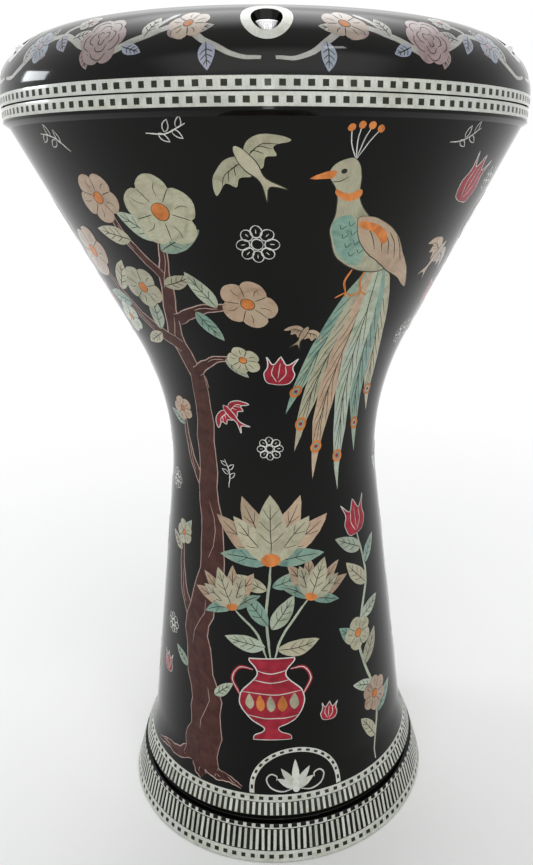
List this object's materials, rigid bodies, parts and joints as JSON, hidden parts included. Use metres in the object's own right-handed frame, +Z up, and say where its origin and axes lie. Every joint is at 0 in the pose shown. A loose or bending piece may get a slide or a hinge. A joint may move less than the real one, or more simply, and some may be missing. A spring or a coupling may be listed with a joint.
{
  "type": "goblet drum",
  "caption": "Goblet hand drum: cast alloy goblet with a waist, film head in a hoop, bolted clamping ring, and pearl inlay borders under black lacquer.",
  "frame": {"origin": "on the drum's axis, at the flat that the foot stands on", "axes": "+Z up along the drum's axis towards the head; -Y to the front, where the arch above the foot is; +X to the right of the front"},
  "size_m": [0.28, 0.28, 0.4662],
  "materials": {
    "lacquered_casting": "cast alloy under thick polished black lacquer",
    "head_film": "translucent white polyester film",
    "bare_alloy": "satin extruded alloy",
    "plated_steel": "bright zinc-plated steel",
    "pearl": "mother-of-pearl under clear lacquer"
  },
  "bodies": {
    "goblet": {"shell": "lacquered_casting", "drum_head": "head_film", "rim_border": "pearl", "foot_upper_border": "pearl", "foot_lower_border": "pearl", "arch_frame": "pearl"},
    "clamp_ring": {"tension_ring": "lacquered_casting", "head_hoop": "bare_alloy", "ring_border": "pearl", "bolt_washer_1": "plated_steel", "bolt_washer_2": "plated_steel", "bolt_washer_3": "plated_steel", "bolt_washer_4": "plated_steel", "bolt_washer_5": "plated_steel", "bolt_washer_6": "plated_steel", "bolt_collar_1": "pearl", "bolt_collar_2": "pearl", "bolt_collar_3": "pearl", "bolt_collar_4": "pearl", "bolt_collar_5": "pearl", "bolt_collar_6": "pearl"},
    "bolt_1": {"tension_bolt_1": "plated_steel"},
    "bolt_2": {"tension_bolt_2": "plated_steel"},
    "bolt_3": {"tension_bolt_3": "plated_steel"},
    "bolt_4": {"tension_bolt_4": "plated_steel"},
    "bolt_5": {"tension_bolt_5": "plated_steel"},
    "bolt_6": {"tension_bolt_6": "plated_steel"}
  },
  "joints": [
    {"name": "ring_travel", "type": "slide", "parent": "goblet", "child": "clamp_ring", "axis": [0, 0, 1], "range_m": [-0.0005, 0.002]},
    {"name": "bolt_1_turn", "type": "hinge", "parent": "clamp_ring", "child": "bolt_1", "pos_m": [0, -0.128, 0.4542], "axis": [0, 0, 1], "range_deg": [-181, 721]},
    {"name": "bolt_2_turn", "type": "hinge", "parent": "clamp_ring", "child": "bolt_2", "pos_m": [0.11085, -0.064, 0.4542], "axis": [0, 0, 1], "range_deg": [-181, 721]},
    {"name": "bolt_3_turn", "type": "hinge", "parent": "clamp_ring", "child": "bolt_3", "pos_m": [0.11085, 0.064, 0.4542], "axis": [0, 0, 1], "range_deg": [-181, 721]},
    {"name": "bolt_4_turn", "type": "hinge", "parent": "clamp_ring", "child": "bolt_4", "pos_m": [0, 0.128, 0.4542], "axis": [0, 0, 1], "range_deg": [-181, 721]},
    {"name": "bolt_5_turn", "type": "hinge", "parent": "clamp_ring", "child": "bolt_5", "pos_m": [-0.11085, 0.064, 0.4542], "axis": [0, 0, 1], "range_deg": [-181, 721]},
    {"name": "bolt_6_turn", "type": "hinge", "parent": "clamp_ring", "child": "bolt_6", "pos_m": [-0.11085, -0.064, 0.4542], "axis": [0, 0, 1], "range_deg": [-181, 721]}
  ],
  "couplings": [
    {"joint": "bolt_1_turn", "follows": "ring_travel", "rad_per_m": 6283.2},
    {"joint": "bolt_2_turn", "follows": "ring_travel", "rad_per_m": 6283.2},
    {"joint": "bolt_3_turn", "follows": "ring_travel", "rad_per_m": 6283.2},
    {"joint": "bolt_4_turn", "follows": "ring_travel", "rad_per_m": 6283.2},
    {"joint": "bolt_5_turn", "follows": "ring_travel", "rad_per_m": 6283.2},
    {"joint": "bolt_6_turn", "follows": "ring_travel", "rad_per_m": 6283.2}
  ]
}
